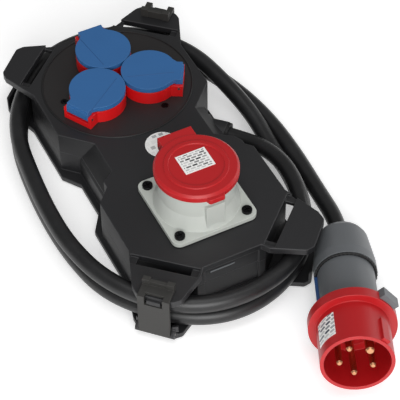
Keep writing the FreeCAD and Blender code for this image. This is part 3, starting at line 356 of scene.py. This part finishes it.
def metal(name, base, shade, roughness, mottle_size):
    """Metal with a fine mottle. The mottle size is in millimetres."""
    material, tree, place = start(name)
    mottle = add(tree, "TexNoise", {"Scale": per_mm(mottle_size), "Detail": 4.0, "Roughness": 0.6},
                 {"Vector": place})
    tone = add(tree, "Mix", {"data_type": "RGBA", 6: linear(base), 7: linear(shade)},
               {0: mottle.outputs["Fac"]})
    rounded = add(tree, "Bevel", {"Radius": METAL_EDGE * MM, "samples": 6})
    relief = add(tree, "Bump", {"Strength": 0.3, "Distance": METAL_DEPTH * MM},
                 {"Height": mottle.outputs["Fac"], "Normal": rounded.outputs["Normal"]})
    polish = add(tree, "MapRange",
                 {"To Min": roughness - METAL_SPREAD, "To Max": roughness + METAL_SPREAD},
                 {"Value": mottle.outputs["Fac"]})
    surface = add(tree, "BsdfPrincipled", {"Metallic": 1.0},
                  {"Base Color": tone.outputs[2], "Roughness": polish.outputs["Result"],
                   "Normal": relief.outputs["Normal"]})
    add(tree, "OutputMaterial", links={"Surface": surface.outputs[0]})
    return material


# The numbers are roughness and mottle size.
brass = metal("brass_turned", "#E6AE86", "#C98C62", 0.30, 2.0)
zinc = metal("steel_zinc_plated", "#B8B8B2", "#9C9C98", 0.34, 1.5)
steel = metal("steel_drawn_bright", "#B0B0AE", "#9A9A98", 0.28, 1.5)
black_steel = metal("steel_black_oxide", "#2C2C2E", "#202022", 0.36, 1.5)
print("metals:", brass.name, zinc.name, steel.name, black_steel.name)

# %% [markdown]
# ## The label film
# Three white polyester films are stuck on: the rating plate on the red lid, a round
# sticker on the deck and a small one on the plug. The real ones are printed. Here the
# print is only rows of plain grey bars, from a Brick texture whose bricks are randomly
# ink or paper, so that it reads as a printed plate at a distance and says nothing.
# Generated coordinates run from 0 to 1 across each label, so the rows fit any size.


# %% Label finish
PAPER = "#F4F4F2"
PRINT_REACH = 0.44    # half the printed part of a label, of its full width
WORD = 0.21           # length of one bar, of the label's width
FILM_MOTTLE = 6.0     # millimetres


def printed_film(name, rows, ink, cover=0.0):
    """White film with rows of plain bars. Cover shifts the balance towards ink."""
    material, tree, place = start(name)
    across = add(tree, "TexCoord").outputs["Generated"]
    lines = add(tree, "TexBrick", {"Scale": 1.0, "Color1": linear(PAPER), "Color2": linear(ink),
                                   "Mortar": linear(PAPER), "Mortar Size": 0.2 / rows,
                                   "Mortar Smooth": 0.1, "Bias": cover, "Brick Width": WORD,
                                   "Row Height": 1.0 / rows}, {"Vector": across})
    split = add(tree, "SeparateXYZ", links={0: across})
    inside = None
    for axis in ("X", "Y"):
        centred = add(tree, "Math", {"operation": "SUBTRACT", 1: 0.5}, {0: split.outputs[axis]})
        distance = add(tree, "Math", {"operation": "ABSOLUTE"}, {0: centred.outputs[0]})
        kept = add(tree, "Math", {"operation": "LESS_THAN", 1: PRINT_REACH},
                   {0: distance.outputs[0]})
        if inside is None:
            inside = kept
        else:
            inside = add(tree, "Math", {"operation": "MULTIPLY"},
                         {0: inside.outputs[0], 1: kept.outputs[0]})
    tone = add(tree, "Mix", {"data_type": "RGBA", 6: linear(PAPER)},
               {0: inside.outputs[0], 7: lines.outputs["Color"]})
    film = add(tree, "TexNoise", {"Scale": per_mm(FILM_MOTTLE), "Detail": 2.0}, {"Vector": place})
    polish = add(tree, "MapRange", {"To Min": 0.30, "To Max": 0.42}, {"Value": film.outputs["Fac"]})
    surface = add(tree, "BsdfPrincipled", {"IOR": 1.57},
                  {"Base Color": tone.outputs[2], "Roughness": polish.outputs["Result"]})
    add(tree, "OutputMaterial", links={"Surface": surface.outputs[0]})
    return material


film_rating = printed_film("polyester_film_printed_rating", 8, "#3A3C3E", 0.25)
film_plug = printed_film("polyester_film_printed_plug", 7, "#3A4254", 0.2)
film_round = printed_film("polyester_film_printed_round", 5, "#8A8C8E")
print("films:", film_rating.name, film_plug.name, film_round.name)

# %% [markdown]
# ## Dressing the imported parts
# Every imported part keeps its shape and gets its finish. The record lists a finish slot
# for each part, so one table from slot to material dresses them all, and three labels
# that share a slot take their own print.

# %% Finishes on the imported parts
FINISH = {
    "shell_rubber": rubber_case, "feet_rubber": rubber_foot, "strap_rubber": rubber_strap,
    "disc_plastic": abs_plate, "socket_red": polyamide_red, "signal_red": polyamide_lid,
    "dark_red": polyamide_dark, "lid_blue": polyamide_blue, "latch_blue": polyamide_strip,
    "cee_grey": polyamide_light, "plug_grey": polyamide_grey, "insert_grey": thermoset,
    "contact_brass": brass, "zinc_screw": zinc, "black_screw": black_steel,
    "steel_pin": steel, "seal_rubber": rubber_seal, "cable_rubber": sheath,
    "label_white": film_round,
}
for entry in frame["record"]["subparts"]:
    part = frame["nodes"][entry["node"]]
    part.data.materials.clear()
    part.data.materials.append(FINISH[entry["material_slot"]])
frame["nodes"]["rating_label"].data.materials[0] = film_rating
frame["nodes"]["plug_label"].data.materials[0] = film_plug

# %% [markdown]
# ## A helper for small pieces
# Each thin mark or moulding below is made as a bmesh, in frame coordinates and metres.
# One helper turns it into an object, smooths it where faces meet gently, gives it its
# finish and lets it ride on the body that carries it.


# %% Piece helper
def piece(name, bm, body, material, sharp=35.0):
    """Makes a mesh object from a bmesh and puts it on a body."""
    bmesh.ops.recalc_face_normals(bm, faces=bm.faces)
    mesh = bpy.data.meshes.new(name)
    bm.to_mesh(mesh)
    bm.free()
    for face in mesh.polygons:
        face.use_smooth = True
    mesh.set_sharp_from_angle(angle=math.radians(sharp))
    mesh.materials.append(material)
    made = bpy.data.objects.new(name, mesh)
    bpy.context.scene.collection.objects.link(made)
    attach(made, body)
    print(name, len(mesh.polygons), "faces on", body)
    return made


def centre_of(node):
    """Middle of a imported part's box."""
    low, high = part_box(node)
    return (low + high) / 2


# %% [markdown]
# ## The line across each blue lid
# A fine moulded line crosses each blue lid at a slant. On the real lid it is a step less
# than half a millimetre high, and the bar's darker blue is painted shade along that step.
# It could be a cut in the lid, but the lid belongs to the imported model, so it is a slim
# bar with chamfered sides that lies on the lid and swings with it.

# %% Lid lines
LINE_W = 0.55
LINE_H = 0.16
LINE_SINK = 0.05
LINE_TAPER = 0.4
LINE_CREST = 0.45     # width of the bar's top, of its full width


def slim_bar(start_at, end_at, z, width, height, sink):
    """A long low bar with sloping sides, from one point to another, in millimetres."""
    a, b = Vector((*start_at, z)), Vector((*end_at, z))
    along = (b - a).normalized()
    side = Vector((-along.y, along.x, 0.0))
    bm = bmesh.new()
    rows = []
    for end, inset in ((a, 0.0), (a, LINE_TAPER), (b, -LINE_TAPER), (b, 0.0)):
        flat = inset == 0.0
        rise = 0.0 if flat else height
        at = end + along * inset
        rows.append([bm.verts.new((at + side * s * width / 2 + Vector((0, 0, h))) * MM)
                     for s, h in ((-1, -sink), (-LINE_CREST, rise), (LINE_CREST, rise),
                                  (1, -sink))])
    for first, second in zip(rows, rows[1:]):
        for k in range(4):
            bm.faces.new((first[k], first[(k + 1) % 4], second[(k + 1) % 4], second[k]))
    bm.faces.new(rows[0])
    bm.faces.new(rows[-1])
    return bm


# Both ends of each line, in millimetres from the middle of its socket.
lid_lines = {"1": ((-12.8, 19.6), (-7.8, -19.3)), "2": ((19.8, 3.1), (-14.9, -22.2)),
             "3": ((-20.5, 0.3), (18.0, -13.0))}
# The darker blue of the line is painted shade along the moulded step.
line_shade_finish = moulded("polyamide_moulded_blue_line_shade", "#24548A", "#205082", "#24548A",
                      0.55, 0.9, 0.03, 0.2, 1.53)
for tag, (begin, finish_at) in lid_lines.items():
    hub = centre_of("socket_insert_" + tag) / MM
    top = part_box("socket_lid_" + tag)[1].z / MM
    bar = slim_bar((hub.x + begin[0], hub.y + begin[1]),
                   (hub.x + finish_at[0], hub.y + finish_at[1]), top, LINE_W, LINE_H, LINE_SINK)
    piece("lid_line_" + tag, bar, "lid_" + tag, line_shade_finish)

# %% [markdown]
# ## Beads and rings
# A soft bead fills the groove round the socket plate, and a near-black toothed ring sits
# where the plug's cap meets its body: its teeth are the cap's grip, and its black is
# painted shade, the dark line under the cap's rim. Both are round sections swept round a
# circle, and both could be cut from a torus primitive, but a swept section takes teeth
# as easily as it takes a plain rim. The ring follows the plug's own axis, which is
# tipped up a little from the floor.


# %% Swept rings
SECTION_SIDES = 8


def swept_ring(radius, section, frame_of, steps=192, teeth=0, tooth=0.0):
    """A ring of round section, in millimetres. Teeth widen the section across the ring."""
    bm = bmesh.new()
    rows = []
    for i in range(steps):
        turn = 2 * math.pi * i / steps
        lift = tooth * max(0.0, math.cos(turn * teeth)) if teeth else 0.0
        row = []
        for k in range(SECTION_SIDES):
            around = 2 * math.pi * k / SECTION_SIDES
            reach = radius + (section + lift) * math.cos(around)
            local = Vector((reach * math.cos(turn), reach * math.sin(turn),
                            section * math.sin(around)))
            row.append(bm.verts.new(frame_of @ local * MM))
        rows.append(row)
    for i in range(steps):
        here, there = rows[i], rows[(i + 1) % steps]
        for k in range(SECTION_SIDES):
            n = (k + 1) % SECTION_SIDES
            bm.faces.new((here[k], here[n], there[n], there[k]))
    return bm


DECK_Z = 48.0
PLATE_Y = 80.0
BEAD_R = 65.0
BEAD_SECTION = 0.95
BEAD_SINK = 0.1       # middle of the bead below the deck
GRIP_R = 24.1
GRIP_SECTION = 1.05
GRIP_TEETH = 48
GRIP_TOOTH = 0.45
GRIP_STEPS = 6 * GRIP_TEETH
CAP_RIM = 49.5        # the ring from the plug's flange, along its axis
PLUG_TURN = math.radians(25.1)
PLUG_TIP = math.radians(8.6)
PLUG_AT = Vector((58.0, -226.4, 35.0))
plug_axis = Vector((-math.sin(PLUG_TURN) * math.cos(PLUG_TIP),
                    -math.cos(PLUG_TURN) * math.cos(PLUG_TIP), math.sin(PLUG_TIP)))
plate_frame = Matrix.Translation((0.0, PLATE_Y, DECK_Z - BEAD_SINK))
plug_facing = plug_axis.to_track_quat("Z", "Y").to_matrix().to_4x4()
cap_frame = Matrix.Translation(PLUG_AT - plug_axis * CAP_RIM) @ plug_facing
bead = swept_ring(BEAD_R, BEAD_SECTION, plate_frame)
piece("plate_gasket", bead, "box", rubber_seal)
# The ring's teeth are the cap's grip, and its near-black is painted shade under the cap's rim.
grip_and_shadow_ring = swept_ring(GRIP_R, GRIP_SECTION, cap_frame, GRIP_STEPS, GRIP_TEETH, GRIP_TOOTH)
grip_and_shadow = piece("cap_grip_and_shadow_ring", grip_and_shadow_ring, "box", rubber_seal)

# %% [markdown]
# ## The pale line on the end wall
# A narrow strip with rounded ends lies on the end wall just under the deck, over a faint
# raised line. It is left blank. Its mid grey is painted highlight, the line of light that
# runs along the wall there. Its edge is bevelled so that it catches a line of light.


# %% Pale line on the end wall
ARC_STEPS = 8         # in each round end
BEVEL = 0.3           # how far the outer face is drawn in, in millimetres
BEVEL_FROM = 0.6      # where that begins, as a share of the thickness


def strip_on_wall(x0, x1, y, z, height, thick):
    """A thin plate with round ends that stands against a wall facing -Y."""
    bm = bmesh.new()
    outline = []
    r = height / 2
    mid = (x0 + x1) / 2
    for cx, begin in ((x1 - r, -90), (x0 + r, 90)):
        for k in range(ARC_STEPS + 1):
            a = math.radians(begin + 180 * k / ARC_STEPS)
            outline.append((cx + r * math.cos(a), z + r * math.sin(a)))
    rows = []
    for depth, inset in ((0.0, 0.0), (thick * BEVEL_FROM, 0.0), (thick, BEVEL)):
        rows.append([bm.verts.new(Vector((px - math.copysign(inset, px - mid), y - depth,
                                          pz - inset * (pz - z) / r)) * MM) for px, pz in outline])
    for here, there in zip(rows, rows[1:]):
        for k in range(len(outline)):
            n = (k + 1) % len(outline)
            bm.faces.new((here[k], here[n], there[n], there[k]))
    bm.faces.new(rows[0])
    bm.faces.new(rows[-1])
    return bm


STRIP_WEST = -19.0
STRIP_EAST = 3.0
END_WALL_Y = -136.3
STRIP_Z = 37.0
STRIP_HEIGHT = 1.6
STRIP_T = 0.5
wall_line = strip_on_wall(STRIP_WEST, STRIP_EAST, END_WALL_Y, STRIP_Z, STRIP_HEIGHT, STRIP_T)
# The strip's mid grey is painted highlight, the line of light along the end wall.
piece("wall_line_painted_highlight", wall_line, "box", polyamide_grey)

# %% [markdown]
# ## What the lead carries
# The plug and its ring belong to the free end of the lead.

# %% [markdown]
# ## Floor and light
# A product on a white sweep keeps soft edges on every highlight and hardly any shadow. The
# floor is matt white board, and it glows a little of its own so that it stays white where
# the case shades it. That glow is a studio trick and belongs to no part. The world gives
# a weak even fill, a large lamp low in front lights the upright walls, one overhead
# lights the deck, and a small one from the right picks out the edges on that side.

# %% Floor
FLOOR_HALF = 3.0
FLOOR_DROP = 0.0002   # the board lies just under the feet
FLOOR_STEPS = 24
FLOOR_GLOW = 0.36
BOARD_MOTTLE = 60.0   # millimetres
floor_bm = bmesh.new()
lines = [FLOOR_HALF * (2 * i / FLOOR_STEPS - 1) for i in range(FLOOR_STEPS + 1)]
grid = [[floor_bm.verts.new((x, y, cad_low.z - FLOOR_DROP)) for y in lines] for x in lines]
for i in range(FLOOR_STEPS):
    for j in range(FLOOR_STEPS):
        floor_bm.faces.new((grid[i][j], grid[i + 1][j], grid[i + 1][j + 1], grid[i][j + 1]))
floor_mesh = bpy.data.meshes.new("floor")
floor_bm.to_mesh(floor_mesh)
floor_bm.free()
floor = bpy.data.objects.new("floor", floor_mesh)
bpy.context.scene.collection.objects.link(floor)
board, tree, place = start("white_board_matt")
fibre = add(tree, "TexNoise", {"Scale": per_mm(BOARD_MOTTLE), "Detail": 3.0}, {"Vector": place})
tone = add(tree, "Mix", {"data_type": "RGBA", 6: linear("#FBFBFB"), 7: linear("#F8F8F8")},
           {0: fibre.outputs["Fac"]})
surface = add(tree, "BsdfPrincipled", {"Roughness": 0.9, "Emission Strength": FLOOR_GLOW},
              {"Base Color": tone.outputs[2], "Emission Color": tone.outputs[2]})
add(tree, "OutputMaterial", links={"Surface": surface.outputs[0]})
floor_mesh.materials.append(board)
print("floor at z", round(cad_low.z, 5))

# %% Light
WORLD_FILL = 0.24
world = bpy.data.worlds.new("studio")
bpy.context.scene.world = world
world.use_nodes = True
sky = world.node_tree.nodes["Background"]
sky.inputs["Color"].default_value = (1.0, 1.0, 1.0, 1.0)
sky.inputs["Strength"].default_value = WORLD_FILL
bpy.context.scene.view_settings.view_transform = "Standard"


def softbox(name, place_at, size, watts):
    """A square area lamp that looks at the target."""
    lamp = bpy.data.lights.new(name, "AREA")
    lamp.size = size
    lamp.energy = watts
    made = bpy.data.objects.new(name, lamp)
    bpy.context.scene.collection.objects.link(made)
    made.location = place_at
    made.rotation_euler = (TARGET - Vector(place_at)).to_track_quat("-Z", "Y").to_euler()


softbox("lamp_front", (-0.6, -1.7, 0.95), size=1.2, watts=30.0)
softbox("lamp_top", (-0.2, -0.3, 1.8), size=1.2, watts=9.0)
softbox("lamp_right", (1.5, 0.0, 0.8), size=0.9, watts=6.0)
